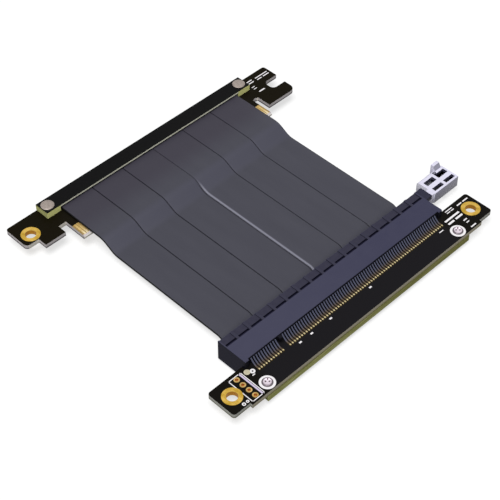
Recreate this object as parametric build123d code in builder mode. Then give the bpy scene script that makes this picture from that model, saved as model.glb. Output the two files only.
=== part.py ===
"""Card-edge extension cable: a straddle-mounted card socket on one board, a card-edge
tongue on the other, and six flat cable strips clamped between them.

X runs along the contact rows, Y from the socket board along the cable to the plug
board, and Z up from the boards' top faces. The origin is midway between the two
mounting holes of the socket board, on its top face.
"""

import os

from build123d import *

os.makedirs("parts", exist_ok=True)

# Contact rows: two fields on one pitch, with the key between them
contact_pitch = 1.0
short_count = 11
long_count = 71
key_step = 3.0

# Boards, which reach as far beyond the socket at both ends
board_t = 1.6
board_reach = 14.0
board_corner_r = 1.0
ear_corner_r = 1.5
clearance = 0.05

# Socket board
socket_board_far = 5.75
socket_board_near = -5.3
belly_depth = 0.95
belly_inset = 6.5

# Plug board, its card-edge tongue and the hook beside it
plug_board_near = 88.1
plug_board_w = 10.7
tongue_len = 9.3
tongue_play = 0.15
tongue_bevel = 0.45
key_slot_w = 1.9
key_slot_depth = 7.6
shoulder_inset = 4.9
shoulder_w = 8.05
shoulder_depth = 3.6
relief_slot_w = 2.5
relief_rise = 0.35
hook_inset = 0.5
hook_depth = 5.7
hook_r = 2.2
latch_notch_w = 4.7
latch_notch_drop = 0.5
latch_notch_reach = 6.3
latch_notch_r = 1.8

# Plated mounting holes
mount_inset = 4.4
mount_hole_r = 1.8
plating = 0.1
mount_pad_r = 3.2
plug_hole_setback = 3.45

# Header holes at the left end of the socket board
header_inset = 9.5
header_y = -0.48
header_pitch = 2.54
header_count = 4
header_hole_r = 0.5
header_pad_r = 0.95

# Edge fingers
finger_w = 0.7
finger_len = 5.6
finger_t = 0.05
finger_setback = 0.6

# Cable clamps, the same part at both ends
clamp_reach = 1.3
clamp_w = 5.9
clamp_t = 2.33
clamp_skin = 0.6
clamp_back_wall = 1.2
clamp_overhang = 0.2
end_block = 5.5

# Rivets, whose tails are rolled to a shallow dish
rivet_inset = 2.5
rivet_r = 1.5
rivet_head_r = 2.25
rivet_head_t = 0.45
rivet_head_bevel = 0.35
rivet_tail_r = 1.75
rivet_tail_t = 0.45
rivet_dish_r = 1.3
rivet_dish_depth = 0.3

# Flat cable: six strips side by side, with a wider gap in the middle
strip_count = 6
ribbon_side_play = 0.4
ribbon_t = 0.8
ribbon_gap = 0.1
ribbon_middle_gap = 0.9
ribbon_lift_plug = 0.22
ribbon_lift_socket = 0.3
ribbon_end_gap = 0.5
ribbon_under_gap = 0.2
ribbon_run_z = -2.385
ribbon_bend_r = 6.3
dip_bend_r = 3.0
dip_fall = 5.75
dip_past = 0.6
dip_rise = 3.5
plug_rise_start = 20.5
plug_rise_end = 15.05

# Card socket
socket_t = 7.8
socket_back = 4.4
socket_len = 11.4
socket_end_wall = 1.85
socket_edge = 0.25
lead_recess = 0.6
lead_recess_margin = 1.4
slot_margin = 1.15
slot_w = 1.8
slot_depth = 7.3
key_web_w = 1.7
bay_count = 17
bay_rib = 0.95
bay_step = 0.3
bay_len = 3.5
bay_slot_w = 1.0
bay_slot_depth = 1.1
key_boss_w = 1.2
key_boss_t = 0.9
key_boss_reach = 1.2

# Socket contacts
contact_w = 0.5
contact_t = 0.2
foot_tip = 1.4
foot_heel = 2.95
lead_run = 2.3
lead_rise = 2.25
touch_setback = 2.2
touch_z = -0.12
contact_tip_setback = 0.8
contact_tip_z = 0.45
cavity_w = 0.62
cavity_wall = 1.4
cavity_len = 7.0

# Wings at the right end of the socket, and the pivot between them
wing_reach = 2.9
wing_w = 4.8
wing_t = 1.6
pivot_reach = 1.55
pivot_setback = 2.4
pivot_r = 0.8
pivot_play = 0.07
pivot_depth = 1.0

# Card latch
latch_play = 0.15
arm_half = 1.35
latch_reach = 5.7
latch_len = 11.9
latch_setback = 4.05
latch_w = 7.85
latch_round = 1.0
latch_slot_w = 1.9
latch_web = 0.75
tooth_offset = 3.2
tooth_len = 3.6
tooth_t = 1.0
tab_offset = 8.2
tab_len = 2.9
tab_t = 1.1
tab_span = 7.7
near_window_y = 1.0
near_window_w = 1.1
far_window_y = 4.2
far_window_w = 1.6
left_window_x = 1.25
right_window_x = 6.85
window_len = 4.1
step_window_y = 5.7
step_window_len = 1.2
step_window_w = 1.25

# Worked-out places along X
row_half = ((short_count - 1 + long_count - 1) * contact_pitch + key_step) / 2
short_x = -row_half + (short_count - 1) * contact_pitch / 2
long_x = row_half - (long_count - 1) * contact_pitch / 2
key_x = -row_half + (short_count - 1) * contact_pitch + key_step / 2
contact_fields = [(short_x, short_count), (long_x, long_count)]
slot_half = row_half + slot_margin
tongue_half = slot_half - tongue_play
socket_half = slot_half + socket_end_wall
board_half = socket_half + board_reach
mount_hole_x = board_half - mount_inset
header_x = header_inset - board_half
clamp_half = socket_half + clamp_reach
rivet_x = clamp_half - rivet_inset
pocket_half = clamp_half - end_block

# Worked-out places along Y and Z
mid_z = -board_t / 2
mid_plane = Plane.XY.offset(mid_z)
belly_near = socket_board_near - belly_depth
plug_board_far = plug_board_near + plug_board_w
tongue_tip = plug_board_near - tongue_len
socket_clamp_y = belly_near - clamp_overhang + clamp_w / 2
plug_clamp_y = plug_board_far + clamp_overhang - clamp_w / 2
socket_mouth = socket_back + socket_len

# Socket board, with a belly under the clamp
with BuildPart() as socket_board:
    with BuildSketch():
        with Locations((0, (socket_board_far + socket_board_near) / 2)):
            Rectangle(2 * board_half, socket_board_far - socket_board_near)
        fillet(vertices(), board_corner_r)
        with Locations((0, belly_near)):
            Rectangle(2 * (board_half - belly_inset), socket_board_far - belly_near,
                      align=(Align.CENTER, Align.MIN))
        with Locations((-mount_hole_x, 0), (mount_hole_x, 0)):
            Circle(mount_hole_r + plating + clearance, mode=Mode.SUBTRACT)
        with Locations((-rivet_x, socket_clamp_y), (rivet_x, socket_clamp_y)):
            Circle(rivet_r + clearance, mode=Mode.SUBTRACT)
        with Locations((header_x, header_y)), GridLocations(0, header_pitch, 1, header_count):
            Circle(header_hole_r + plating + clearance, mode=Mode.SUBTRACT)
    extrude(amount=-board_t)
socket_board.part.label = "socket_board"

# Plug board: a body with a shoulder on the left, the card-edge tongue, and the hook on the right
with BuildPart() as plug_board:
    relief_end = tongue_half + relief_slot_w
    hook_half = board_half - hook_inset
    with BuildSketch():
        with Locations((0, (plug_board_far + plug_board_near) / 2)):
            Rectangle(2 * board_half, plug_board_w)
        fillet(vertices().group_by(Axis.Y)[-1], board_corner_r)
        fillet(vertices().group_by(Axis.Y)[0].sort_by(Axis.X)[0], ear_corner_r)
        with Locations((shoulder_inset + shoulder_w / 2 - board_half, plug_board_near)):
            Rectangle(shoulder_w, 2 * shoulder_depth)
        with Locations((0, tongue_tip)):
            Rectangle(2 * tongue_half, plug_board_far - tongue_tip - clamp_w,
                      align=(Align.CENTER, Align.MIN))
        with Locations((relief_end, plug_board_near - hook_depth)):
            Rectangle(hook_half - relief_end, 2 * hook_depth, align=Align.MIN)
        fillet(vertices().filter_by_position(Axis.X, hook_half - clearance, hook_half + clearance)
               .sort_by(Axis.Y)[0], hook_r)
        with Locations(((tongue_half + relief_end) / 2, plug_board_near + relief_rise - relief_slot_w / 2)):
            Circle(relief_slot_w / 2, mode=Mode.SUBTRACT)
        with Locations((key_x, tongue_tip + key_slot_depth - key_slot_w / 2)):
            Circle(key_slot_w / 2, mode=Mode.SUBTRACT)
        with Locations((key_x, tongue_tip)):
            Rectangle(key_slot_w, 2 * key_slot_depth - key_slot_w, mode=Mode.SUBTRACT)
        with Locations((board_half - latch_notch_reach, plug_board_near - latch_notch_drop)):
            RectangleRounded(3 * latch_notch_reach, latch_notch_w, latch_notch_r,
                             align=Align.MIN, mode=Mode.SUBTRACT)
        with Locations((-mount_hole_x, plug_board_near + plug_hole_setback)):
            Circle(mount_hole_r + plating + clearance, mode=Mode.SUBTRACT)
        with Locations((-rivet_x, plug_clamp_y), (rivet_x, plug_clamp_y)):
            Circle(rivet_r + clearance, mode=Mode.SUBTRACT)
    extrude(amount=-board_t)
    tip_edges = edges().filter_by(Axis.X).group_by(Axis.Y)[0]
    chamfer(tip_edges, tongue_bevel)
plug_board.part.label = "plug_board"

# Cable clamps: a milled bar with a pocket that is open towards the cable
socket_clamp_plane = Plane((0, socket_clamp_y, -board_t), x_dir=(1, 0, 0), z_dir=(0, 0, -1))
plug_clamp_plane = Plane((0, plug_clamp_y, 0), x_dir=(1, 0, 0), z_dir=(0, 0, 1))


def clamp(seat):
    """The bar stands on its seat plane, whose minus Y points at the cable."""
    with BuildPart() as bar:
        with BuildSketch(seat):
            Rectangle(2 * clamp_half, clamp_w)
            with Locations((-rivet_x, 0), (rivet_x, 0)):
                Circle(rivet_r + clearance, mode=Mode.SUBTRACT)
        extrude(amount=clamp_t)
        with BuildSketch(seat):
            with Locations((0, -clamp_back_wall)):
                Rectangle(2 * pocket_half, clamp_w)
        extrude(amount=clamp_t - clamp_skin, mode=Mode.SUBTRACT)
    return bar.part


with BuildPart() as socket_clamp:
    add(clamp(socket_clamp_plane))
socket_clamp.part.label = "socket_clamp"

with BuildPart() as plug_clamp:
    add(clamp(plug_clamp_plane))
plug_clamp.part.label = "plug_clamp"


# Rivets: the head lies on the clamp and the rolled tail on the board
def rivet(seat, x):
    """One rivet through the clamp that stands on the seat plane, and through the board under it."""
    tail = -board_t - rivet_tail_t
    axis_plane = Plane(seat.from_local_coords((x, 0, 0)), x_dir=(1, 0, 0), z_dir=-seat.y_dir)
    with BuildPart() as body:
        with BuildSketch(axis_plane):
            with BuildLine():
                Polyline(
                    (0, clamp_t + rivet_head_t),
                    (rivet_head_r - rivet_head_bevel, clamp_t + rivet_head_t),
                    (rivet_head_r, clamp_t),
                    (rivet_r, clamp_t),
                    (rivet_r, -board_t),
                    (rivet_tail_r, -board_t),
                    (rivet_dish_r, tail),
                    (rivet_dish_r - rivet_dish_depth, tail + rivet_dish_depth),
                    (0, tail + rivet_dish_depth),
                    close=True,
                )
            make_face()
        revolve(axis=Axis(axis_plane.origin, axis_plane.y_dir))
    return body.part


with BuildPart() as socket_rivet_left:
    add(rivet(socket_clamp_plane, -rivet_x))
socket_rivet_left.part.label = "socket_rivet_left"

with BuildPart() as socket_rivet_right:
    add(rivet(socket_clamp_plane, rivet_x))
socket_rivet_right.part.label = "socket_rivet_right"

with BuildPart() as plug_rivet_left:
    add(rivet(plug_clamp_plane, -rivet_x))
plug_rivet_left.part.label = "plug_rivet_left"

with BuildPart() as plug_rivet_right:
    add(rivet(plug_clamp_plane, rivet_x))
plug_rivet_right.part.label = "plug_rivet_right"


# Plated holes: a barrel through the board with a ring pad on each face
def plated_hole(x, y, bore_r, pad_r):
    """A lining with the bore, whose pads lie on both faces of the board."""
    with BuildPart() as lining:
        with BuildSketch(Plane.XZ.offset(-y)):
            with Locations((x + bore_r, mid_z)):
                Rectangle(plating, board_t, align=(Align.MIN, Align.CENTER))
            with Locations((x + bore_r, 0)):
                Rectangle(pad_r - bore_r, plating, align=Align.MIN)
            with Locations((x + bore_r, -board_t)):
                Rectangle(pad_r - bore_r, plating, align=(Align.MIN, Align.MAX))
        revolve(axis=Axis((x, y, 0), (0, 0, 1)))
    return lining.part


with BuildPart() as socket_ring_left:
    add(plated_hole(-mount_hole_x, 0, mount_hole_r, mount_pad_r))
socket_ring_left.part.label = "socket_ring_left"

with BuildPart() as socket_ring_right:
    add(plated_hole(mount_hole_x, 0, mount_hole_r, mount_pad_r))
socket_ring_right.part.label = "socket_ring_right"

with BuildPart() as plug_ring:
    add(plated_hole(-mount_hole_x, plug_board_near + plug_hole_setback, mount_hole_r, mount_pad_r))
plug_ring.part.label = "plug_ring"

with BuildPart() as header_eyelets:
    eyelet = plated_hole(header_x, header_y, header_hole_r, header_pad_r)
    with GridLocations(0, header_pitch, 1, header_count):
        add(eyelet)
header_eyelets.part.label = "header_eyelets"

# Edge fingers on both faces of the tongue
with BuildPart() as top_fingers:
    with BuildSketch():
        for field_x, count in contact_fields:
            with Locations((field_x, tongue_tip + finger_setback + finger_len / 2)):
                with GridLocations(contact_pitch, 0, count, 1):
                    Rectangle(finger_w, finger_len)
    extrude(amount=finger_t)
top_fingers.part.label = "top_fingers"

with BuildPart() as bottom_fingers:
    mirror(top_fingers.part, about=mid_plane)
bottom_fingers.part.label = "bottom_fingers"

# Flat cable: one route for all six strips, through both clamps and under the socket
plug_z = ribbon_lift_plug + ribbon_t / 2
socket_z = -board_t - ribbon_lift_socket - ribbon_t / 2
under_z = mid_z - socket_t / 2 - ribbon_under_gap - ribbon_t / 2
clamp_inner = clamp_w / 2 - clamp_back_wall - ribbon_end_gap
route = [
    (socket_clamp_y - clamp_inner, socket_z),
    (socket_back - dip_fall, socket_z),
    (socket_back, under_z),
    (socket_mouth + dip_past, under_z),
    (socket_mouth + dip_past + dip_rise, ribbon_run_z),
    (plug_board_near - plug_rise_start, ribbon_run_z),
    (plug_board_near - plug_rise_end, plug_z),
    (plug_clamp_y + clamp_inner, plug_z),
]
bend_radii = 4 * [dip_bend_r] + 2 * [ribbon_bend_r]
ribbon_half = pocket_half - ribbon_side_play
strip_w = (2 * ribbon_half - ribbon_middle_gap - (strip_count - 2) * ribbon_gap) / strip_count
strip_step = strip_w + ribbon_gap
half_gap = ribbon_middle_gap / 2


def strip(left_edge):
    """One strip of the cable, extruded across its width from its left edge."""
    with BuildPart() as cable:
        with BuildSketch(Plane.YZ.offset(left_edge)):
            with BuildLine():
                FilletPolyline(*[(y, z - ribbon_t / 2) for y, z in route], radius=bend_radii)
                offset(amount=ribbon_t, side=Side.LEFT)
            make_face()
        extrude(amount=strip_w)
    return cable.part


strips = []
for number in range(strip_count):
    steps = number - strip_count // 2
    past_middle = half_gap if steps >= 0 else ribbon_gap - half_gap
    with BuildPart() as ribbon:
        add(strip(steps * strip_step + past_middle))
    ribbon.part.label = f"ribbon_{number + 1}"
    strips.append(ribbon.part)

# Card socket: the upper half is cut and then mirrored about the middle of the board
half_t = socket_t / 2
top_z = mid_z + half_t
recess_y = socket_back + lead_recess
bay_pitch = 2 * socket_half / bay_count
bay_w = bay_pitch - bay_rib
bay_back = socket_mouth - bay_len
mouth_plane = Plane.XZ.offset(-socket_mouth)
back_plane = Plane.XZ.offset(-socket_back)
recess_plane = Plane.XZ.offset(-recess_y)
cavity_high = half_t - cavity_wall
pivot_x = socket_half + pivot_reach
pivot_y = socket_mouth - pivot_setback

with BuildPart() as socket_housing:
    with BuildSketch(mid_plane):
        with Locations((0, socket_back)):
            Rectangle(2 * socket_half, socket_len, align=(Align.CENTER, Align.MIN))
    extrude(amount=half_t)
    chamfer(faces().sort_by(Axis.Z)[-1].edges().group_by(Axis.Y)[0], socket_edge)
    with BuildSketch(mid_plane):
        with Locations((0, socket_back)):
            Rectangle(2 * (row_half + lead_recess_margin), 2 * lead_recess)
    extrude(amount=half_t, mode=Mode.SUBTRACT)
    with BuildSketch(Plane.XY.offset(top_z)):
        with Locations((socket_half, socket_mouth - wing_w)):
            Rectangle(wing_reach, wing_w, align=Align.MIN)
    extrude(amount=-wing_t)
    with BuildSketch(Plane.XY.offset(top_z - wing_t)):
        with Locations((pivot_x, pivot_y)):
            Circle(pivot_r + pivot_play)
    extrude(amount=pivot_depth, mode=Mode.SUBTRACT)
    with BuildSketch(mouth_plane):
        with Locations((-slot_half, mid_z)):
            Rectangle(key_x - key_web_w / 2 + slot_half, slot_w, align=(Align.MIN, Align.CENTER))
        with Locations((slot_half, mid_z)):
            Rectangle(slot_half - key_x - key_web_w / 2, slot_w, align=(Align.MAX, Align.CENTER))
    extrude(amount=slot_depth, mode=Mode.SUBTRACT)
    with BuildSketch(mouth_plane):
        for field_x, count in contact_fields:
            with Locations((field_x, mid_z)), GridLocations(contact_pitch, 0, count, 1):
                Rectangle(cavity_w, 2 * cavity_high)
    extrude(amount=cavity_len, mode=Mode.SUBTRACT)
    with BuildSketch(back_plane):
        with Locations((0, mid_z)):
            Rectangle(2 * socket_half, board_t + 2 * clearance)
    extrude(amount=-(socket_board_far + clearance - socket_back), mode=Mode.SUBTRACT)
    with BuildSketch(Plane.XY.offset(top_z)):
        with Locations((0, socket_mouth - bay_len / 2)), GridLocations(bay_pitch, 0, bay_count, 1):
            Rectangle(bay_w, bay_len)
    extrude(amount=-bay_step, mode=Mode.SUBTRACT)
    with BuildSketch(Plane.XY.offset(top_z)):
        with Locations((0, bay_back + bay_slot_w / 2)), GridLocations(bay_pitch, 0, bay_count, 1):
            Rectangle(bay_w, bay_slot_w)
    extrude(amount=-bay_slot_depth, mode=Mode.SUBTRACT)
    with BuildSketch(recess_plane):
        with Locations((key_x, lead_rise)):
            Rectangle(key_boss_w, key_boss_t)
    extrude(amount=key_boss_reach)
    mirror(about=mid_plane)
socket_housing.part.label = "socket_housing"

# Socket contacts: a foot on the board, a lead up to the housing and a spring in the cavity
with BuildPart() as contact:
    with BuildSketch(Plane.YZ):
        with BuildLine():
            Polyline(
                (foot_tip, 0),
                (foot_heel, 0),
                (foot_heel + lead_run, lead_rise - contact_t),
                (socket_mouth - touch_setback, touch_z),
                (socket_mouth - contact_tip_setback, contact_tip_z),
            )
            offset(amount=contact_t, side=Side.LEFT, kind=Kind.INTERSECTION)
        make_face()
    extrude(amount=contact_w / 2, both=True)

with BuildPart() as top_contacts:
    for field_x, count in contact_fields:
        with Locations((field_x, 0)), GridLocations(contact_pitch, 0, count, 1):
            add(contact.part)
top_contacts.part.label = "top_contacts"

with BuildPart() as bottom_contacts:
    mirror(top_contacts.part, about=mid_plane)
bottom_contacts.part.label = "bottom_contacts"

# Card latch: a moulded block with windows and a slot, held between the wings by two stubs
cheek_half = half_t - wing_t - latch_play
cheek_z = mid_z + cheek_half
latch_left = socket_half + latch_reach
latch_right = latch_left + latch_len
latch_back = socket_mouth - latch_setback
latch_front = latch_back + latch_w
windows = [
    (left_window_x, near_window_y, window_len, near_window_w),
    (right_window_x, near_window_y, window_len, near_window_w),
    (left_window_x, far_window_y, window_len, far_window_w),
    (right_window_x, far_window_y, window_len, far_window_w),
    (right_window_x, step_window_y, step_window_len, step_window_w),
]

with BuildPart() as card_latch:
    with BuildSketch(mid_plane):
        with Locations((latch_left, latch_back)):
            Rectangle(latch_len, latch_w, align=Align.MIN)
    extrude(amount=cheek_half)
    fillet(faces().sort_by(Axis.Z)[-1].edges().group_by(Axis.Y)[-1], latch_round)
    with BuildSketch(mid_plane):
        with Locations((pivot_x, pivot_y)):
            Rectangle(latch_left - pivot_x, 2 * arm_half, align=(Align.MIN, Align.CENTER))
            Circle(arm_half)
    extrude(amount=cheek_half)
    with BuildSketch(mid_plane):
        with Locations((latch_left + latch_web, latch_back + latch_web)):
            Rectangle(latch_len - 2 * latch_web, latch_w, align=Align.MIN)
        with Locations((latch_left + tooth_offset, latch_front)):
            Rectangle(tooth_len, tooth_t, align=(Align.MIN, Align.MAX), mode=Mode.SUBTRACT)
    extrude(amount=latch_slot_w / 2, mode=Mode.SUBTRACT)
    with BuildSketch(mid_plane):
        for x, y, length, width in windows:
            with Locations((latch_left + x, latch_back + y)):
                Rectangle(length, width, align=Align.MIN)
    extrude(amount=cheek_half, mode=Mode.SUBTRACT)
    with BuildSketch(mid_plane):
        with Locations((latch_left + tab_offset, latch_front - latch_round)):
            Rectangle(tab_len, latch_round + tab_t, align=Align.MIN)
    extrude(amount=tab_span / 2)
    with BuildSketch(Plane.XY.offset(cheek_z)):
        with Locations((pivot_x, pivot_y)):
            Circle(pivot_r)
    extrude(amount=latch_play + pivot_depth - clearance)
    mirror(about=mid_plane)
card_latch.part.label = "card_latch"

# Files
pieces = [
    socket_board, plug_board, socket_clamp, plug_clamp,
    socket_rivet_left, socket_rivet_right, plug_rivet_left, plug_rivet_right,
    socket_ring_left, socket_ring_right, plug_ring, header_eyelets,
    top_fingers, bottom_fingers, socket_housing, top_contacts, bottom_contacts, card_latch,
]
for piece in pieces:
    export_step(piece.part, f"parts/{piece.part.label}.step")
for ribbon_part in strips:
    export_step(ribbon_part, f"parts/{ribbon_part.label}.step")
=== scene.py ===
import math

import bmesh
import bpy
from mathutils import Matrix, Vector


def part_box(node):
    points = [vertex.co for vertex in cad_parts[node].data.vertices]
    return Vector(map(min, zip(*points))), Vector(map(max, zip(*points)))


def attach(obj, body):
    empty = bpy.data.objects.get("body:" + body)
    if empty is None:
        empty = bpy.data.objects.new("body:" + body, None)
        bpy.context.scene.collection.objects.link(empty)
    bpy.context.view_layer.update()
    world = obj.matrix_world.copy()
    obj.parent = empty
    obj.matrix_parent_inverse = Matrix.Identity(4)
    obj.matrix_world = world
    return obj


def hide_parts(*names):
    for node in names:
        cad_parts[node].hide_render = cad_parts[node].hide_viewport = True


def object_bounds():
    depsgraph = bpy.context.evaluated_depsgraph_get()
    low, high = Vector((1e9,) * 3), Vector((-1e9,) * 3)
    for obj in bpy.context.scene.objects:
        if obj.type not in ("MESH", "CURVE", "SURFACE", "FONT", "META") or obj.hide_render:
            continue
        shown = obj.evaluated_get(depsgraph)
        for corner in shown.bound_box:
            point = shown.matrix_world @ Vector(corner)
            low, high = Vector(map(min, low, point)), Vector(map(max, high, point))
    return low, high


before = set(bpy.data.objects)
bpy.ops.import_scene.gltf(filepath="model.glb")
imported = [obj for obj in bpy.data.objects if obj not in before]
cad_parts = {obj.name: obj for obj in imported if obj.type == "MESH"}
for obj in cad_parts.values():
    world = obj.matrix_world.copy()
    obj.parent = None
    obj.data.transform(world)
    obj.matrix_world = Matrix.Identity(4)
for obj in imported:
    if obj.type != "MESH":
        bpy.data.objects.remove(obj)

cad_low, cad_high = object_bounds()

# Camera: the picture is taken from the front left, well above the boards.
# It stands far off with a long lens, so the long edges stay nearly parallel.
mm = 0.001
scene = bpy.context.scene
view_target = Vector((-9.58, 37.38, 0)) * mm
view_azimuth = math.radians(-44.948)
view_elevation = math.radians(46.26)
view_distance = 431.45 * mm
lens_length = 98.72
sensor_width = 36
nearest_seen, farthest_seen = 0.01, 10

back = Vector((
    math.sin(view_azimuth) * math.cos(view_elevation),
    -math.cos(view_azimuth) * math.cos(view_elevation),
    math.sin(view_elevation),
))
camera = bpy.data.objects.new("camera", bpy.data.cameras.new("camera"))
camera.data.lens = lens_length
camera.data.sensor_width = sensor_width
camera.data.clip_start = nearest_seen
camera.data.clip_end = farthest_seen
camera.rotation_mode = "QUATERNION"
camera.rotation_quaternion = (-back).to_track_quat("-Z", "Y")
camera.location = view_target + back * view_distance
scene.collection.objects.link(camera)
scene.camera = camera
scene.view_settings.view_transform = "Standard"

# Floor and light: the cable lies on a wide white sheet, in an even white room.
# One broad soft lamp stands above it, a little to the left, and leaves a faint shadow.
room_light = 0.27
lamp_light = 0.81
lamp_from = Vector((-0.30, -0.17, 1)).normalized()
lamp_spread = math.radians(35)
floor_gap = 0.02 * mm
floor_half = 3.0
floor_glow = 0.66
all_black = (0, 0, 0, 1)
all_white = (1, 1, 1, 1)
sheet_seen = (0.36, 0.36, 0.36, 1)
sheet_spread = (0.2, 0.2, 0.2, 1)


class Signal:
    """A socket of one node tree. Expressions on signals add Math nodes."""

    def __init__(self, tree, socket=None):
        self.tree = tree
        self.socket = socket

    def node(self, kind, settings, inputs, output=0):
        """Adds any node: its settings first, then the values or links of its sockets."""
        made = self.tree.nodes.new(kind)
        for name, value in settings.items():
            setattr(made, name, value)
        for name, value in inputs.items():
            if isinstance(value, Signal):
                self.tree.links.new(value.socket, made.inputs[name])
            else:
                made.inputs[name].default_value = value
        return Signal(self.tree, made.outputs[output] if made.outputs else None)

    def math(self, operation, *values):
        """Adds one Math node."""
        return self.node("ShaderNodeMath", {"operation": operation}, dict(enumerate(values)))

    def __add__(self, other):
        return self.math("ADD", self, other)

    def __sub__(self, other):
        return self.math("SUBTRACT", self, other)

    def __rsub__(self, other):
        return self.math("SUBTRACT", other, self)

    def __mul__(self, other):
        return self.math("MULTIPLY", self, other)

    def __gt__(self, other):
        return self.math("GREATER_THAN", self, other)

    def __lt__(self, other):
        return self.math("LESS_THAN", self, other)

    __radd__ = __add__
    __rmul__ = __mul__


def ink(red, green, blue):
    """A colour as a screen shows it, 0 to 255, turned into the linear values of a shader."""
    def linear(level):
        level /= 255
        return level / 12.92 if level <= 0.04045 else ((level + 0.055) / 1.055) ** 2.4
    return (linear(red), linear(green), linear(blue), 1)


def tint(mask, base, over):
    """The base colour where the mask is 0 and the other where it is 1."""
    return mask.node("ShaderNodeMix", {"data_type": "RGBA"}, {0: mask, 6: base, 7: over}, 2)


def seen_mask(start):
    """1 where the eye, a reflection or a refraction looks, and 0 for the light that is spread."""
    path = start.node("ShaderNodeLightPath", {}, {}, "Is Camera Ray")
    rays = path.socket.node
    glossy = Signal(start.tree, rays.outputs["Is Glossy Ray"])
    through = Signal(start.tree, rays.outputs["Is Transmission Ray"])
    return path.math("MAXIMUM", path, glossy.math("MAXIMUM", glossy, through))


def finish(name, recipe):
    """A material. Its recipe is given the object's coordinates and returns shader inputs."""
    material = bpy.data.materials.new(name)
    material.use_nodes = True
    material.node_tree.nodes.clear()
    start = Signal(material.node_tree)
    at = start.node("ShaderNodeTexCoord", {}, {}, "Object")
    shader = start.node("ShaderNodeBsdfPrincipled", {}, recipe(at))
    start.node("ShaderNodeOutputMaterial", {}, {"Surface": shader})
    return material


def piece(name, bm, material, smooth_angle=None):
    """An object at the origin from a finished bmesh."""
    mesh = bpy.data.meshes.new(name)
    bm.to_mesh(mesh)
    bm.free()
    mesh.materials.append(material)
    if smooth_angle is not None:
        mesh.shade_smooth()
        mesh.set_sharp_from_angle(angle=math.radians(smooth_angle))
    made = bpy.data.objects.new(name, mesh)
    scene.collection.objects.link(made)
    return made


def white_floor(at):
    """White to the eye, and darker to the light that it throws back."""
    seen = seen_mask(at)
    return {
        "Base Color": tint(seen, sheet_spread, sheet_seen),
        "Roughness": 0.9,
        "Specular IOR Level": 0.0,
        "Emission Color": tint(seen, all_black, all_white),
        "Emission Strength": floor_glow,
    }


room = bpy.data.worlds.new("room")
scene.world = room
room.use_nodes = True
room.node_tree.nodes.clear()
room_start = Signal(room.node_tree)
room_seen = seen_mask(room_start)
room_shader = room_start.node("ShaderNodeBackground", {}, {
    "Color": all_white,
    "Strength": room_seen * (1 - room_light) + room_light,
})
room_start.node("ShaderNodeOutputWorld", {}, {"Surface": room_shader})

lamp = bpy.data.objects.new("lamp", bpy.data.lights.new("lamp", "SUN"))
lamp.data.energy = lamp_light * math.pi / lamp_from.z
lamp.data.angle = lamp_spread
lamp.rotation_mode = "QUATERNION"
lamp.rotation_quaternion = lamp_from.to_track_quat("Z", "Y")
scene.collection.objects.link(lamp)

bm = bmesh.new()
bmesh.ops.create_grid(bm, x_segments=1, y_segments=1, size=floor_half)
bmesh.ops.translate(bm, verts=bm.verts, vec=(0, 0, cad_low.z - floor_gap))
piece("floor", bm, finish("white_floor", white_floor))

# Boards: glass-fibre laminate, 1.6 mm thick, black solder mask on both faces, bare sawn edges.
# The edge is paler in its upper part than in its lower part, with fine plies in both.
board_t = 1.6 * mm
mask_skin = 0.02 * mm
mask_grain = 1300
mask_relief = 0.012 * mm
board_plies = (150, 150, 5200)
ply_waver = 0.4 * mm
pale_from, pale_to = -1.0 * mm, -0.7 * mm
plane_half = 42 * mm
plane_fade = 3.0 * mm
edge_reach = 0.1 * mm
bare_half = 43 * mm
bare_tip = 0.8 * mm
board_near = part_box("socket_board")[0].y
plug_near = 88.1 * mm
tongue_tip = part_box("plug_board")[0].y
finger_tip, finger_root = (corner.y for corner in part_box("top_fingers"))


def split(at):
    """The three coordinates of a point."""
    x = at.node("ShaderNodeSeparateXYZ", {}, {"Vector": at}, "X")
    parts = x.socket.node.outputs
    return x, Signal(at.tree, parts["Y"]), Signal(at.tree, parts["Z"])


def stretch(at, x, y, z):
    """The coordinates scaled, as repeats per metre, for a pattern that runs along an axis."""
    return at.node("ShaderNodeVectorMath", {"operation": "MULTIPLY"}, {0: at, 1: (x, y, z)})


def noise(at, scale, detail=3.0):
    """Soft noise around one half. Its scale is in repeats per metre."""
    return at.node("ShaderNodeTexNoise", {}, {
        "Vector": at, "Scale": scale, "Detail": detail,
    }, "Fac")


def bump(height, depth, strength=1.0):
    """The relief that a height of 0 to 1 makes, as deep as given."""
    return height.node("ShaderNodeBump", {}, {
        "Height": height, "Distance": depth, "Strength": strength,
    }, "Normal")


def ramp_up(value, low, high):
    """0 below the low end and 1 above the high end, smooth between them."""
    return value.node("ShaderNodeMapRange", {"interpolation_type": "SMOOTHSTEP"}, {
        "Value": value, "From Min": low, "From Max": high,
    }, "Result")


def between(value, low, high):
    """1 inside a range and 0 outside it."""
    return (value > low) * (value < high)


def mask_texture(at):
    """The slight unevenness of solder mask."""
    return bump(noise(at, mask_grain, 2.0), mask_relief, 0.5)


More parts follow.
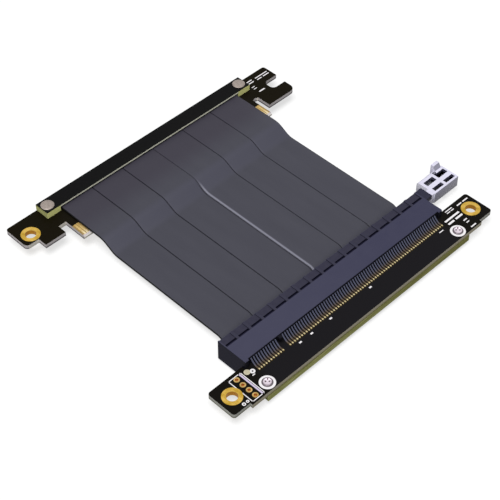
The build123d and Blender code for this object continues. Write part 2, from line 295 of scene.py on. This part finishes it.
def masked_board(fronts, front_lit_share, front_lit_colour, edge_high, edge_low, end_colour, plane_colour,
                 bare_y=None):
    """Black mask over laminate. A copper plane makes the middle of the board a little lighter.
    The edges at the given fronts face forward and are made paler as painted light. The tongue has
    no mask up to the given end of its fingers."""
    def recipe(at):
        x, y, z = split(at)
        sawn = between(z, mask_skin - board_t, -mask_skin)
        across = x.math("ABSOLUTE", x)
        plane = 1 - ramp_up(across, plane_half - plane_fade, plane_half + plane_fade)
        layers = noise(stretch(at, *board_plies), 1.0, 2.0)
        upper = ramp_up(z + layers * ply_waver, pale_from, pale_to)
        front_lit = 0
        for front in fronts:
            front_lit = between(y, front - edge_reach, front + edge_reach) + front_lit
        # Painted light: the forward-facing edges are tinted paler.
        bare = tint(front_lit * front_lit_share, tint(upper, edge_low, edge_high), front_lit_colour)
        mask_colour = tint(plane, end_colour, plane_colour)
        mask_colour = tint(noise(at, 900) * 0.2, mask_colour, ink(34, 32, 33))
        if bare_y is not None:
            laminate = tint(y < tongue_tip + bare_tip, ink(156, 131, 84), ink(198, 186, 190))
            mask_colour = tint((across < bare_half) * (y < bare_y), mask_colour, laminate)
        return {
            "Base Color": tint(sawn, mask_colour, bare),
            "Roughness": sawn * 0.5 + 0.4,
            "Specular IOR Level": 0.02,
            "Normal": mask_texture(at),
        }
    return recipe


def dress(nodes, material):
    """Gives a finish to pieces of the frame, whose meshes stay as they are."""
    for node in nodes:
        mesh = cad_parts[node].data
        mesh.materials.clear()
        mesh.materials.append(material)


# Each board's forward edges get a colour of painted light.
dress(["socket_board"], finish("socket_board_mask", masked_board(
    fronts=[board_near], front_lit_share=0.5, front_lit_colour=ink(192, 178, 144),
    edge_high=ink(188, 188, 180), edge_low=ink(142, 141, 124),
    end_colour=ink(17, 15, 11), plane_colour=ink(26, 25, 28))))
dress(["plug_board"], finish("plug_board_mask", masked_board(
    fronts=[plug_near, tongue_tip], front_lit_share=0.7, front_lit_colour=ink(255, 250, 236),
    edge_high=ink(216, 210, 210), edge_low=ink(124, 118, 122),
    end_colour=ink(18, 14, 3), plane_colour=ink(20, 17, 9), bare_y=finger_root)))

# Gold: soft plating on the edge fingers and the ring pads, worn paler at the fingers' ends.
# It is plated over copper, which shows darker down the barrels of the holes.
barrel_end = 0.06 * mm
worn_full, worn_out = 0.3 * mm, 2.6 * mm
worn_share = 0.85
worn_colour = ink(236, 222, 184)


def plated(colour_low, colour_high, barrel_colour, worn_y=None):
    """Gold, darker in the barrels. It is worn pale towards the given end of the fingers."""
    def recipe(at):
        x, y, z = split(at)
        barrel = between(z, barrel_end - board_t, -barrel_end)
        streaks = noise(stretch(at, 2600, 500, 500), 1.0)
        patches = ramp_up(noise(at, 420) * 0.7 + streaks * 0.3, 0.36, 0.64)
        colour = tint(barrel, tint(patches, colour_low, colour_high), barrel_colour)
        if worn_y is not None:
            worn = 1 - ramp_up(y, worn_y + worn_full, worn_y + worn_out)
            colour = tint(worn * worn_share, colour, worn_colour)
        return {
            "Base Color": colour,
            "Metallic": 0.8,
            "Roughness": streaks * 0.14 + 0.36,
            "Normal": bump(noise(at, 1700, 2.0), 0.01 * mm, 0.6),
        }
    return recipe


dress(["socket_ring_left", "socket_ring_right", "plug_ring"], finish("gold_plate", plated(
    ink(180, 144, 40), ink(214, 178, 88), ink(176, 120, 26))))
dress(["top_fingers", "bottom_fingers"], finish("finger_plate", plated(
    ink(192, 160, 90), ink(212, 184, 122), ink(150, 110, 50), finger_tip)))
dress(["header_eyelets"], finish("eyelet_plate", plated(
    ink(168, 134, 66), ink(204, 172, 110), ink(216, 130, 40))))

# Contact pads: one narrow copper pad under each contact foot, on both faces of the socket board.
# Their dark brown is painted shade between the leads, and they stand 0.03 mm proud of the board.
contact_pitch = 1.0 * mm
short_count = 11
long_count = 71
key_step = 3.0 * mm
row_half = ((short_count - 1 + long_count - 1) * contact_pitch + key_step) / 2
mid_z = -board_t / 2
pad_w = 0.6 * mm
pad_near = 1.05 * mm
pad_far = 3.2 * mm
pad_t = 0.03 * mm

columns = [-row_half + number * contact_pitch for number in range(short_count)]
columns += [row_half - number * contact_pitch for number in range(long_count)]


def slab(bm, low, high):
    """Adds a block between two corners."""
    size = Vector(high) - Vector(low)
    place = Matrix.Translation((Vector(low) + Vector(high)) / 2) @ Matrix.Diagonal((*size, 1))
    bmesh.ops.create_cube(bm, size=1, matrix=place)


def verts_of(parts):
    """The vertices among the parts that an operator gives back."""
    return [part for part in parts if isinstance(part, bmesh.types.BMVert)]


def repeat_in_rows(bm):
    """Repeats what stands at the middle of the row in every column of both fields."""
    first = bm.verts[:] + bm.edges[:] + bm.faces[:]
    for x in columns[1:]:
        copied = bmesh.ops.duplicate(bm, geom=first)["geom"]
        bmesh.ops.translate(bm, verts=verts_of(copied), vec=(x, 0, 0))
    bmesh.ops.translate(bm, verts=verts_of(first), vec=(columns[0], 0, 0))


def turn_under(bm):
    """Mirrors the mesh about the middle plane of the board."""
    bmesh.ops.scale(bm, vec=(1, 1, -1), space=Matrix.Translation((0, 0, -mid_z)), verts=bm.verts)
    bmesh.ops.reverse_faces(bm, faces=bm.faces)


def pad_in_painted_shade(at):
    """Copper, darkened to a brown as painted shade between the leads."""
    # Painted shade: the pads are dark brown where the leads shade them.
    return {
        "Base Color": tint(noise(at, 1100), ink(34, 27, 8), ink(66, 54, 22)),
        "Metallic": 0.3,
        "Roughness": 0.5,
        "Specular IOR Level": 0.1,
    }


pad_plate = finish("pad_in_painted_shade", pad_in_painted_shade)
for side in ("top", "bottom"):
    bm = bmesh.new()
    slab(bm, (-pad_w / 2, pad_near, 0), (pad_w / 2, pad_far, pad_t))
    repeat_in_rows(bm)
    if side == "bottom":
        turn_under(bm)
    pads = piece(f"{side}_contact_pads", bm, pad_plate)
    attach(pads, "cable")

# Printed marks: white ink, screened on the mask of both boards as thin bars and rings.
# The header has an outline with a double bar, and each rivet tail stands in a ring.
# Bars and rings are given in millimetres.
ink_t = 0.02 * mm
line_w = 0.28
header_left, header_right = -51.3, -46.3
header_low, header_high = -5.6, 4.6
band_reach = 1.02
band_w = 0.56
band_left = header_right - band_reach
band_right = band_left + band_w
tick_half = 0.5
tick_low, tick_high = -0.15, 0.4
tick_places = (-25.7, -20.8, -12.5, 5.4)
bars = [
    (header_left, header_low, header_right, header_low + line_w),
    (header_left, header_high - line_w, header_right, header_high),
    (header_left, header_low, header_left + line_w, header_high),
    (header_right - line_w, header_low, header_right, header_high),
    (band_left, header_low, band_right, header_high),
    (47.7, -5.62, 50.1, -5.15),
    (38.4, -0.1, 40.3, 0.25),
    (43.4, 0.05, 46.2, 0.75), (47.0, 0.05, 50.3, 0.75), (43.4, 1.5, 50.3, 2.2),
    (46.9, 3.7, 48.4, 4.05), (48.8, 3.7, 50.2, 4.05), (46.9, 4.55, 50.2, 4.9),
    (52.0, 3.75, 54.2, 4.2), (54.8, 3.75, 57.3, 4.2),
    (48.2, -2.1, 49.8, -1.65), (48.2, -3.3, 49.5, -2.9),
    (-44.6, 1.1, -43.6, 1.45),
    (47.6, 89.7, 50.2, 90.2),
    (47.1, 92.0, 48.5, 92.3), (47.1, 93.1, 48.5, 93.4),
    (47.7, 95.2, 50.2, 95.6), (47.7, 96.3, 50.2, 96.7),
    (51.7, 94.9, 53.9, 95.3), (54.6, 94.9, 57.5, 95.3), (51.7, 96.0, 57.5, 96.4),
]
bars += [(x - tick_half, tick_low, x + tick_half, tick_high) for x in tick_places]
rings = [
    (-53.62, -4.33, 0.26, 0.6),
    (-52.15, -4.34, 0.2, 0.5),
    (-43.4, 2.45, 0.3, 0.85),
]
ring_segments = 48
rivet_tail_r = 1.75 * mm
print_ring_w = 0.78 * mm


def printed_ring(bm, x, y, inner_r, outer_r):
    """A ring of ink on the top face of a board."""
    place = Matrix.Translation((x, y, ink_t))
    circle = bmesh.ops.create_circle(bm, segments=ring_segments, radius=outer_r, matrix=place)
    rim = list({edge for vert in circle["verts"] for edge in vert.link_edges})
    made = bmesh.ops.extrude_edge_only(bm, edges=rim)["geom"]
    bmesh.ops.scale(bm, vec=(inner_r / outer_r,) * 3, space=place.inverted(),
                    verts=verts_of(made))
    faces = [part for part in made if isinstance(part, bmesh.types.BMFace)]
    walls = bmesh.ops.extrude_face_region(bm, geom=faces)["geom"]
    bmesh.ops.translate(bm, verts=verts_of(walls), vec=(0, 0, -ink_t))


def white_ink(at):
    """White, and lilac on the wider bar of the header."""
    x = split(at)[0]
    lilac = between(x, band_left * mm, band_right * mm)
    plain = tint(noise(at, 3500), ink(226, 222, 224), ink(252, 250, 252))
    return {
        "Base Color": tint(lilac, plain, ink(206, 194, 220)),
        "Roughness": 0.6,
        "Specular IOR Level": 0.15,
        "Normal": bump(noise(at, 9000, 2.0), 0.005 * mm),
    }


bm = bmesh.new()
for x_low, y_low, x_high, y_high in bars:
    slab(bm, (x_low * mm, y_low * mm, 0), (x_high * mm, y_high * mm, ink_t))
for x, y, inner_r, outer_r in rings:
    printed_ring(bm, x * mm, y * mm, inner_r * mm, outer_r * mm)
for node in ("socket_rivet_left", "socket_rivet_right"):
    rivet_low, rivet_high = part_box(node)
    middle = (rivet_low + rivet_high) / 2
    printed_ring(bm, middle.x, middle.y, rivet_tail_r, rivet_tail_r + print_ring_w)
marks = piece("printed_marks", bm, finish("white_ink", white_ink))
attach(marks, "cable")

# Test pad: one round pad beside the header, with no hole in it.
# It is a disc of the board's copper, tinned with solder that stands a little proud.
test_pad_x, test_pad_y = -44.85 * mm, 3.3 * mm
test_pad_r = 1.0 * mm
test_pad_top = 0.94
test_pad_t = 0.06 * mm
test_pad_segments = 40


def tinned_pad(at):
    """Pale mottled solder."""
    return {
        "Base Color": tint(noise(at, 1400), ink(176, 168, 138), ink(222, 216, 190)),
        "Metallic": 0.3,
        "Roughness": 0.5,
        "Normal": bump(noise(at, 1500, 2.0), 0.03 * mm, 0.6),
    }


bm = bmesh.new()
bmesh.ops.create_cone(bm, cap_ends=True, cap_tris=False, segments=test_pad_segments,
                      radius1=test_pad_r, radius2=test_pad_r * test_pad_top, depth=test_pad_t,
                      matrix=Matrix.Translation((test_pad_x, test_pad_y, test_pad_t / 2)))
pad = piece("test_pad", bm, finish("tinned_pad", tinned_pad), smooth_angle=40)
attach(pad, "cable")

# Socket housing: one long moulding in near-black plastic, held on the board by its contacts.
# Its outer faces have a fine matt grain and a blue cast, and the left end is darkened as painted
# shade.
# The bays at its mouth are coarser, and darkened as painted shade, as is the face behind the
# leads.
socket_half = 44.5 * mm
housing_half_t = 3.9 * mm
housing_mouth = 15.8 * mm
bay_back = 12.3 * mm
bay_skin = 0.1 * mm
pit_skin = 0.4 * mm
shell_t = 0.3 * mm
lead_face_y = 5.1 * mm
wing_gap = 0.1 * mm
near_face = 0.05 * mm
shade_half = 45 * mm


def moulded_housing(at):
    """Blue-black, with painted shade at the left end, in the mouth, its bays and pits, and behind
    the leads.
    """
    x, y, z = split(at)
    across = x.math("ABSOLUTE", x)
    off_middle = z.math("ABSOLUTE", z - mid_z)
    mouth = across < socket_half - shell_t
    mouth = mouth * between(y, bay_back - near_face, housing_mouth - near_face)
    bay = mouth * (off_middle < housing_half_t - bay_skin)
    pit = mouth * (off_middle < housing_half_t - pit_skin)
    left_end_shade = x < near_face - socket_half
    wings = x > socket_half + wing_gap
    behind_leads_shade = (y < lead_face_y) * (off_middle < housing_half_t - shell_t)
    grain = noise(at, 5200, 2.0)
    outer = tint(ramp_up(x, -shade_half, shade_half), ink(66, 66, 85), ink(57, 57, 78))
    outer = tint(noise(at, 260) * 0.5, outer, ink(71, 71, 89))
    # Painted shade darkens the left end; the wings are darker too.
    outer = tint(left_end_shade, tint(wings * 0.7, outer, ink(40, 40, 54)), ink(13, 12, 29))
    # Painted shade in the mouth, deeper in the bays and deepest in their pits.
    colour = tint(mouth * 0.75, outer, ink(50, 49, 62))
    colour = tint(bay, colour, tint(noise(at, 700), ink(46, 45, 60), ink(58, 57, 71)))
    colour = tint(pit, colour, ink(32, 31, 50))
    # Painted shade on the face behind the leads.
    return {
        "Base Color": tint(behind_leads_shade, colour, ink(20, 20, 27)),
        "Roughness": grain * 0.1 + 0.5,
        "Specular IOR Level": 0.06,
        "Normal": bump(grain, 0.01 * mm, 0.5),
    }


dress(["socket_housing"], finish("moulded_housing", moulded_housing))

# Contacts: stamped spring strips, brown at the foot with a painted highlight at its tip, 82 on
# each face of the board.
# Each leaves the back of the housing, turns down, and curves out to a flat soldered foot.
# Their routes are in millimetres, from the foot to the end inside the housing.
contact_w = 0.46 * mm
contact_t = 0.2 * mm
lead_route = [(1.3, 0.13), (3.05, 0.13), (4.35, 1.15), (5.3, 2.35), (13.6, 0.0), (15.0, 0.55)]
lead_bends = [1.0, 1.6, 0.5, 0.5]
lead_bend_steps = 4
glint_from, glint_to = 1.65 * mm, 2.0 * mm
foot_from, foot_to = 2.2 * mm, 3.9 * mm


def sweep(bm, section, route, radii, steps):
    """Drives a closed section, which stands at the start of a route in Y and Z, along its runs.
    Each corner is an arc of its own radius."""
    points = [Vector((0, y, z)) for y, z in route]
    edges = section
    here = points[0]
    for number, radius in enumerate([*radii, 0]):
        corner = points[number + 1]
        along = (corner - here).normalized()
        goal = corner
        if radius:
            onward = (points[number + 2] - corner).normalized()
            turn = along.angle(onward)
            goal = corner - along * radius * math.tan(turn / 2)
        made = bmesh.ops.extrude_edge_only(bm, edges=edges)["geom"]
        moved = verts_of(made)
        edges = [part for part in made if isinstance(part, bmesh.types.BMEdge)
                 and all(vert in moved for vert in part.verts)]
        bmesh.ops.translate(bm, verts=moved, vec=goal - here)
        here = goal
        if radius:
            axis = along.cross(onward).normalized()
            centre = goal + axis.cross(along) * radius
            made = bmesh.ops.spin(bm, geom=edges + moved, cent=centre, axis=axis,
                                  angle=turn, steps=steps, use_merge=False,
                                  use_normal_flip=False, use_duplicate=False)["geom_last"]
            edges = [part for part in made if isinstance(part, bmesh.types.BMEdge)]
            here = corner + onward * radius * math.tan(turn / 2)
    bmesh.ops.contextual_create(bm, geom=section)
    bmesh.ops.contextual_create(bm, geom=edges)
    bmesh.ops.recalc_face_normals(bm, faces=bm.faces)


def upright_section(bm, width, height, y, z, round_r=0, round_steps=1):
    """A rectangle across the route's start, with rounded corners if asked, as a loop of edges."""
    place = (Matrix.Translation((0, y, z)) @ Matrix.Rotation(math.pi / 2, 4, "X")
             @ Matrix.Diagonal((width, height, 1, 1)))
    bmesh.ops.create_grid(bm, x_segments=1, y_segments=1, size=0.5, matrix=place)
    if round_r:
        bmesh.ops.bevel(bm, geom=bm.verts[:], offset=round_r, segments=round_steps,
                        affect="VERTICES", profile=0.5, material=-1)
    bmesh.ops.delete(bm, geom=bm.faces[:], context="FACES_ONLY")
    return bm.edges[:]


def spring_with_painted_glint(at):
    """Dark spring metal, brown towards the foot, with a painted highlight at the tip."""
    x, y, z = split(at)
    tip = 1 - ramp_up(y, glint_from, glint_to)
    foot = 1 - ramp_up(y, foot_from, foot_to)
    colour = tint(foot, ink(77, 80, 100), ink(96, 80, 60))
    # Painted highlight: the pale mottled colour below, named solder, is the glint at the foot's
    # tip.
    solder = tint(noise(at, 1500), ink(188, 168, 112), ink(228, 214, 172))
    return {
        "Base Color": tint(tip, colour, solder),
        "Metallic": 0.6,
        "Roughness": 0.4,
        "Normal": bump(noise(stretch(at, 4000, 700, 700), 1.0), 0.01 * mm, 0.4),
    }


contact_metal = finish("spring_with_painted_glint", spring_with_painted_glint)
lead_points = [(y * mm, z * mm) for y, z in lead_route]
for side in ("top", "bottom"):
    bm = bmesh.new()
    section = upright_section(bm, contact_w, contact_t, *lead_points[0])
    sweep(bm, section, lead_points, [radius * mm for radius in lead_bends], lead_bend_steps)
    repeat_in_rows(bm)
    if side == "bottom":
        turn_under(bm)
    contacts = piece(f"{side}_leads", bm, contact_metal, smooth_angle=40)
    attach(contacts, "cable")
    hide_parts(f"{side}_contacts")

# Clamps: bars of black masked laminate, riveted so that they pinch the cable to each board.
# Their sawn edges are bare, and show the yellow-green of the glass fibre and resin.
clamp_plies = (120, 120, 4200)
bare_lip = 0.25 * mm
end_block = 5.5 * mm


def laminate_bar(low, high, left_share, right_share, end_colour, front_colour):
    """Black mask on the two broad faces, and bare laminate between them.
    The front edge is tinted towards the given colours, in a share that runs from the left end to
    the right: painted light on the plug clamp, painted shade on the socket clamp. Its lip has lost
    the mask."""
    def recipe(at):
        x, y, z = split(at)
        sawn = between(z, low.z + mask_skin, high.z - mask_skin)
        front = y < low.y + near_face
        lip = (y < low.y + bare_lip) * between(z, -mask_skin - board_t, mask_skin - board_t)
        layers = noise(stretch(at, *clamp_plies), 1.0, 2.0)
        bare = tint(ramp_up(layers, 0.36, 0.64), ink(158, 162, 98), ink(212, 212, 144))
        # The front edge's painted light and shade: one colour near the ends, one in the middle.
        front_light_and_shade = tint(x.math("ABSOLUTE", x) < high.x - end_block, end_colour, front_colour)
        share = ramp_up(x, low.x, high.x) * (right_share - left_share) + left_share
        bare = tint(lip, tint(front * share, bare, front_light_and_shade), ink(92, 92, 52))
        mask_colour = tint(noise(at, 900), ink(14, 14, 15), ink(22, 22, 22))
        return {
            "Base Color": tint(sawn.math("MAXIMUM", sawn, lip), mask_colour, bare),
            "Roughness": sawn * 0.45 + 0.42,
            "Specular IOR Level": 0.02,
            "Normal": mask_texture(at),
        }
    return recipe


# Painted shade on the socket clamp's front edge, growing towards the right end.
dress(["socket_clamp"], finish("socket_clamp_laminate", laminate_bar(
    *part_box("socket_clamp"), left_share=0.15, right_share=0.65,
    end_colour=ink(120, 116, 62), front_colour=ink(122, 117, 64))))
# Painted light on the plug clamp's front edge.
dress(["plug_clamp"], finish("plug_clamp_laminate", laminate_bar(
    *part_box("plug_clamp"), left_share=0.98, right_share=0.98,
    end_colour=ink(255, 255, 168), front_colour=ink(255, 255, 232))))

# Rivets: nickel-plated, two through each clamp and board, with a dull mottled head.
# The tail is rolled to a shallow bright dish; the shade of three punch dents in its floor is
# painted as dark spots.
head_r = 2.25 * mm
head_t = 0.45 * mm
shank_r = 1.5 * mm
tail_t = 0.45 * mm
dish_r = 1.3 * mm
dish_depth = 0.3 * mm
dish_fade = 0.12 * mm
dent_inner, dent_outer = 0.18 * mm, 0.39 * mm
dents = [(-0.18 * mm, 0.59 * mm), (0.63 * mm, -0.22 * mm), (0.79 * mm, 0.70 * mm)]
rivet_segments = 48
merge_gap = 0.001 * mm


def off_axis(at, x, y):
    """The distance of a point from an upright axis."""
    flat = stretch(at, 1, 1, 0)
    return flat.node("ShaderNodeVectorMath", {"operation": "DISTANCE"}, {
        0: flat, 1: (x, y, 0),
    }, "Value")


def nickel(centre, dished):
    """A plain head, or a dished tail with its dark rolled rim and the painted shade of its dents.
    """
    def recipe(at):
        mottle = noise(at, 1100)
        colour = tint(mottle, ink(122, 110, 103), ink(176, 165, 157))
        if dished:
            rim = ramp_up(off_axis(at, centre.x, centre.y), dish_r - dish_fade, dish_r + dish_fade)
            dent = 0
            for x, y in dents:
                dent = 1 - ramp_up(off_axis(at, centre.x + x, centre.y + y),
                                   dent_inner, dent_outer) + dent
            colour = tint(mottle, ink(190, 176, 186), ink(244, 234, 244))
            # Painted shade: three dark spots stand for the dents, which the mesh doesn't have.
            colour = tint(dent, colour, ink(70, 56, 60))
            colour = tint(rim, colour, tint(mottle, ink(74, 66, 74), ink(124, 114, 120)))
        return {
            "Base Color": colour,
            "Metallic": 0.55,
            "Roughness": noise(at, 2600) * 0.2 + 0.36,
            "Normal": bump(noise(at, 1700, 2.0), 0.03 * mm, 0.5),
        }
    return recipe


for node in ("socket_rivet_left", "socket_rivet_right", "plug_rivet_left", "plug_rivet_right"):
    low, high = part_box(node)
    centre = (low + high) / 2
    head_up = node.startswith("plug")
    length = high.z - low.z
    # Half of the outline, from the crown of the head to the floor of the dish
    profile = [
        (0, length),
        (head_r * 0.5, length - 0.03 * mm),
        (head_r * 0.86, length - 0.1 * mm),
        (head_r, length - head_t * 0.55),
        (head_r, length - head_t),
        (shank_r, length - head_t),
        (shank_r, tail_t),
        (rivet_tail_r, tail_t),
        (rivet_tail_r, tail_t * 0.6),
        (rivet_tail_r - 0.2 * mm, 0.06 * mm),
        (dish_r + 0.05 * mm, 0),
        (dish_r - 0.2 * mm, dish_depth * 0.7),
        (dish_r - 0.5 * mm, dish_depth),
        (0, dish_depth),
    ]
    bm = bmesh.new()
    verts = [bm.verts.new((x, 0, z)) for x, z in profile]
    outline = [bm.edges.new(pair) for pair in zip(verts, verts[1:])]
    bmesh.ops.spin(bm, geom=verts + outline, cent=(0, 0, 0), axis=(0, 0, 1), angle=2 * math.pi,
                   steps=rivet_segments, use_merge=True, use_normal_flip=False,
                   use_duplicate=False)
    bmesh.ops.remove_doubles(bm, verts=bm.verts, dist=merge_gap)
    if not head_up:
        bmesh.ops.rotate(bm, cent=(0, 0, length / 2), verts=bm.verts,
                         matrix=Matrix.Rotation(math.pi, 3, "X"))
    bmesh.ops.translate(bm, verts=bm.verts, vec=(centre.x, centre.y, low.z))
    bmesh.ops.recalc_face_normals(bm, faces=bm.faces)
    rivet_metal = finish(f"{node}_nickel", nickel(centre, not head_up))
    rivet = piece(f"{node}_turned", bm, rivet_metal, smooth_angle=30)
    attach(rivet, "cable")
    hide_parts(node)

# Cable strips: six flat cables side by side in a dark grey jacket with rounded edges.
# They run from one clamp to the other, dip under the socket and rise over the plug board.
# Three and three are slit apart; along the slit, the right strip's edge has painted light and the
# left one's painted shade.
strip_count = 6
strip_t = 0.8 * mm
strip_round = 0.37 * mm
strip_round_steps = 4
strip_route = [
    (-4.75, -2.3), (-1.35, -2.3), (4.4, -5.3), (16.4, -5.3),
    (19.9, -2.385), (67.6, -2.385), (73.05, 0.62), (97.3, 0.62),
]
strip_bends = 4 * [3.4] + 2 * [6.7]
strip_bend_steps = 10
strip_points = [(y * mm, z * mm) for y, z in strip_route]
strip_gap = 0.08 * mm
middle_gap = 0.12 * mm
middle_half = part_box("ribbon_4")[0].x
middle_reach = 1.2 * mm
parting_end = 74 * mm
parting_run = 6 * mm
slit_inner, slit_outer = 0.315 * mm, 0.9 * mm
slit_from, slit_to = 68 * mm, 72.5 * mm
cable_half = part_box("ribbon_6")[1].x
outer_edge_shade = 0.26 * mm
seams = [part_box("ribbon_4")[1].x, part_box("ribbon_5")[1].x]
seam_half = 0.17 * mm
rib_pitch = 0.66 * mm
rise_from, rise_to = 66 * mm, 69 * mm
level_from, level_to = 72 * mm, 75 * mm
dark_from, dark_to = 75 * mm, 86 * mm


def cable_jacket(at):
    """Soft grey, with painted light where the strips rise, and painted shade towards the plug, in
    the seams, at the outer edges and beside the slit, whose right edge has painted light.
    """
    x, y, z = split(at)
    ribs = x.math("SINE", x * (2 * math.pi / rib_pitch))
    grain = noise(stretch(at, 3000, 900, 900), 1.0)
    rise = ramp_up(y, rise_from, rise_to) * (1 - ramp_up(y, level_from, level_to))
    colour = tint(noise(stretch(at, 220, 40, 40), 1.0), ink(62, 62, 71), ink(70, 70, 79))
    # Painted shade towards the plug clamp.
    colour = tint(ramp_up(y, dark_from, dark_to) * 0.8, colour, ink(56, 53, 63))
    # Painted light where the strips rise towards the plug board.
    colour = tint(rise * 0.8, colour, ink(73, 73, 85))
    across = x.math("ABSOLUTE", x)
    seam = 0
    for middle in seams:
        seam = between(across, middle - seam_half, middle + seam_half) + seam
    # Painted shade in the seams between the strips.
    colour = tint(seam * 0.6, colour, ink(26, 25, 34))
    # Along the slit: painted shade on the left strip's edge and painted light on the right strip's
    # edge.
    slit = (1 - ramp_up(across, slit_inner, slit_outer)) * (1 - ramp_up(y, slit_from, slit_to))
    slit_light_and_shade = tint(x > 0, ink(36, 35, 44), ink(131, 131, 144))
    # Painted shade, near black, along both outer edges of the cable.
    colour = tint(across > cable_half - outer_edge_shade, colour, ink(6, 6, 9))
    return {
        "Base Color": tint(slit, colour, slit_light_and_shade),
        "Roughness": grain * 0.14 + 0.46,
        "Specular IOR Level": 0.15,
        "Normal": bump(ribs * 0.12 + grain * 0.5, 0.012 * mm, 0.6),
    }


jacket = finish("cable_jacket", cable_jacket)
for number in range(strip_count):
    node = f"ribbon_{number + 1}"
    low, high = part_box(node)
    bm = bmesh.new()
    section = upright_section(bm, high.x - low.x, strip_t, *strip_points[0],
                              round_r=strip_round, round_steps=strip_round_steps)
    sweep(bm, section, strip_points, [radius * mm for radius in strip_bends], strip_bend_steps)
    bmesh.ops.translate(bm, verts=bm.verts, vec=((low.x + high.x) / 2, 0, 0))
    for vert in bm.verts:
        if abs(vert.co.x) < middle_reach:
            parted = min(max((parting_end - vert.co.y) / parting_run, 0), 1)
            wanted = (strip_gap + (middle_gap - strip_gap) * parted) / 2
            vert.co.x -= math.copysign(middle_half - wanted, vert.co.x)
    strip = piece(f"cable_strip_{number + 1}", bm, jacket, smooth_angle=40)
    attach(strip, "cable")
    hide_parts(node)

# Card latch: a white moulded block that turns on stubs at the end of the socket.
# Its outer edges are softly rounded, and the walls inside its windows and slot are painted dark as
# painted shade.
# Its tabs lean back, and its windows, in millimetres here, are wider than in the frame.
latch_round = 0.16 * mm
latch_wall = 0.55 * mm
latch_left = 50.2 * mm
latch_front = 19.6 * mm
latch_half_t = 2.15 * mm
latch_skin = 0.01 * mm
side_reach = 0.03 * mm
slot_low = 0.95 * mm
slot_reach = 0.02 * mm
tab_face = 18.6 * mm
tab_low = 3.0 * mm
tab_lean = 1.0 * mm
tab_rise = 1.7 * mm
tab_from, tab_to = 0.05 * mm, 1.6 * mm
tab_reach = 0.1 * mm
flat_angle = math.radians(1)
sharp_angle = math.radians(60)
window_flare = 0.19 * mm
window_reach = 0.02
windows = [
    (51.45, 12.75, 55.55, 13.85), (57.05, 12.75, 61.15, 13.85),
    (51.45, 15.95, 55.55, 17.55), (57.05, 15.95, 61.15, 17.55), (57.05, 17.5, 58.25, 18.7),
]


def moulded_latch(low, high):
    """White outside, with painted shade on the front faces and painted light on the left face. The
    inside, behind the outer walls on every side, is painted dark as painted shade.
    """
    def recipe(at):
        x, y, z = split(at)
        inside = between(x, latch_left + latch_wall, high.x - latch_wall)
        inside = inside * between(y, low.y + latch_wall, latch_front - 2 * latch_wall)
        off_middle = z.math("ABSOLUTE", z - mid_z)
        inside = inside * (off_middle < latch_half_t - latch_skin)
        floor = z < mid_z - slot_low + slot_reach
        rise = off_middle - latch_half_t
        slope = tab_face + rise * (tab_lean / tab_rise) + near_face
        front = (y < low.y + side_reach) + between(rise, tab_from, tab_to) * (y < slope)
        side = between(x, latch_left - side_reach, latch_left + side_reach)
        grain = noise(at, 3800, 2.0)
        white = tint(noise(at, 300), ink(212, 210, 228), ink(224, 222, 240))
        # Painted shade on the front faces, the tabs' too, and painted light on the left face.
        white = tint(side, tint(front, white, ink(148, 147, 163)), ink(240, 239, 252))
        # Painted shade inside the windows and slot, a little lighter on the lower floor.
        dark = tint(floor, ink(82, 81, 102), ink(118, 120, 124))
        return {
            "Base Color": tint(inside, white, dark),
            "Roughness": grain * 0.1 + 0.36,
            "Specular IOR Level": 0.3,
            "Normal": bump(grain, 0.008 * mm, 0.5),
        }
    return recipe


bm = bmesh.new()
bm.from_mesh(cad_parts["card_latch"].data)
bmesh.ops.remove_doubles(bm, verts=bm.verts, dist=merge_gap)
bmesh.ops.dissolve_limit(bm, angle_limit=flat_angle, verts=bm.verts, edges=bm.edges)
for vert in bm.verts:
    if abs(vert.co.z - mid_z) > tab_low and vert.co.y < tab_face + tab_reach:
        vert.co.y += tab_lean
    for x_low, y_low, x_high, y_high in windows:
        x, y = vert.co.x / mm, vert.co.y / mm
        if (x_low - window_reach < x < x_high + window_reach
                and y_low - window_reach < y < y_high + window_reach):
            vert.co.x += math.copysign(window_flare, 2 * x - x_low - x_high)
            vert.co.y += math.copysign(window_flare, 2 * y - y_low - y_high)
            break
sharp = [edge for edge in bm.edges if len(edge.link_faces) == 2
         and edge.calc_face_angle() > sharp_angle]
bmesh.ops.bevel(bm, geom=sharp, offset=latch_round, segments=2, affect="EDGES", profile=0.5,
                material=-1, clamp_overlap=True)
latch_plastic = finish("moulded_latch", moulded_latch(*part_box("card_latch")))
latch = piece("latch_moulding", bm, latch_plastic, smooth_angle=35)
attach(latch, "latch")
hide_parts("card_latch")
